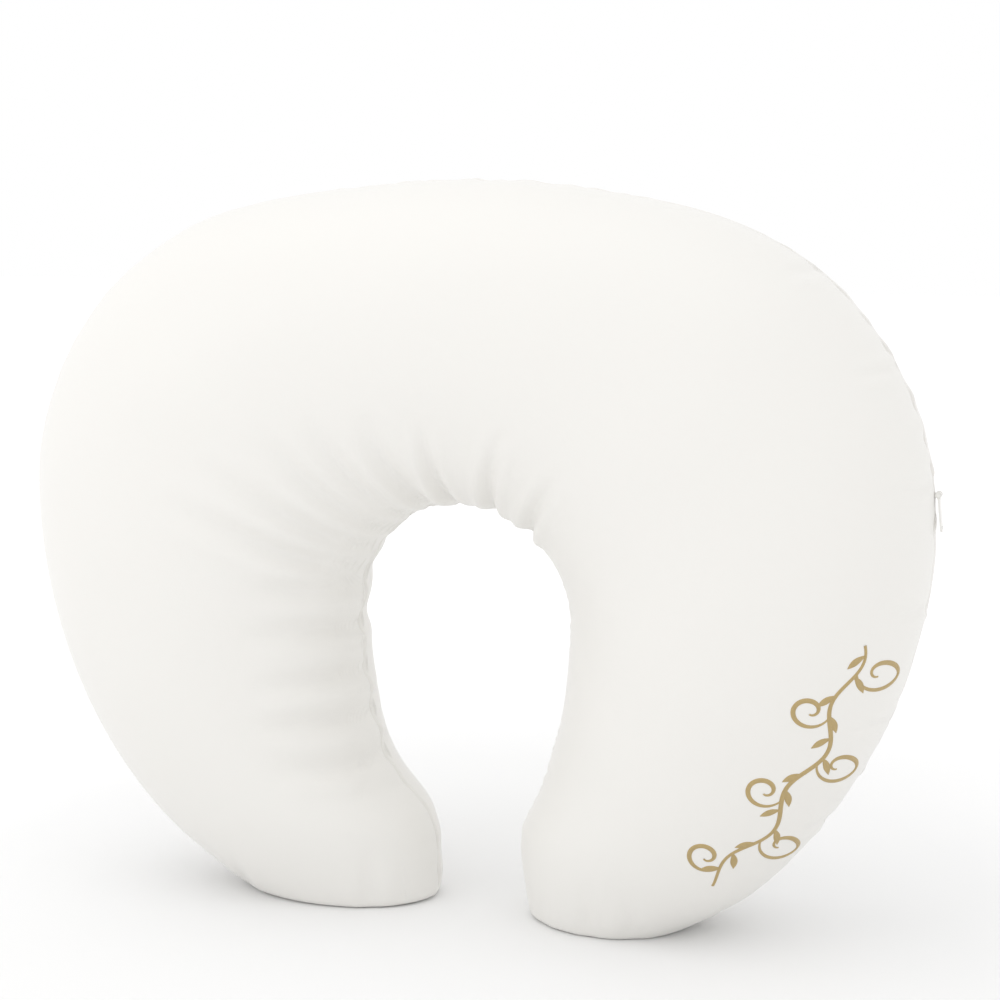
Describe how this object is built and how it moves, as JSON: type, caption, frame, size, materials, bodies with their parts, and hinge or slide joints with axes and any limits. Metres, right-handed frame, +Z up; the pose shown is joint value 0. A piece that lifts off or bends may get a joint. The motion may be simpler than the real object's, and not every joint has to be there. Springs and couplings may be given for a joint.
{
  "type": "nursing pillow",
  "caption": "C-shaped nursing pillow with a stuffed inner cushion inside a zipped warm-white satin cover with a gold embroidered vine.",
  "frame": {"origin": "on the floor midway between the two arms, in the plane of the sewn seam", "axes": "+X across the pillow to the arm that carries the embroidery, +Y from the front face to the back, +Z up"},
  "size_m": [0.5816, 0.1682, 0.4558],
  "materials": {
    "satin": "soft satin weave, low sheen",
    "seam_thread": "matt sewing thread",
    "gold_thread": "glossy rayon embroidery thread",
    "label_tape": "smooth woven label tape",
    "zip_tape": "woven polyester tape",
    "zip_nylon": "moulded nylon",
    "zip_metal": "white enamelled die-cast metal",
    "ticking": "plain woven cotton ticking",
    "ticking_thread": "overlocked cotton thread",
    "fibre": "loose hollow polyester fibre"
  },
  "bodies": {
    "cushion": {"cover_front_panel": "satin", "cover_back_panel": "satin", "cover_seam": "seam_thread", "embroidery": "gold_thread", "care_label": "label_tape", "zip_tape_front": "zip_tape", "zip_tape_back": "zip_tape", "zip_coil_front": "zip_nylon", "zip_coil_back": "zip_nylon", "zip_upper_stop": "zip_nylon", "zip_lower_stop": "zip_nylon", "casing_front": "ticking", "casing_back": "ticking", "casing_seam": "ticking_thread", "fibre_filling": "fibre"},
    "zip_slider": {"zip_slider": "zip_metal"},
    "zip_pull": {"zip_pull": "zip_metal"}
  },
  "joints": [
    {"name": "zip_run", "type": "hinge", "parent": "cushion", "child": "zip_slider", "pos_m": [0.10021, 0, 0.25547], "axis": [0, -1, 0], "range_deg": [0, 55]},
    {"name": "pull_flip", "type": "hinge", "parent": "zip_slider", "child": "zip_pull", "pos_m": [0.29037, 0, 0.27545], "axis": [0, -1, 0], "range_deg": [0, 170]}
  ]
}
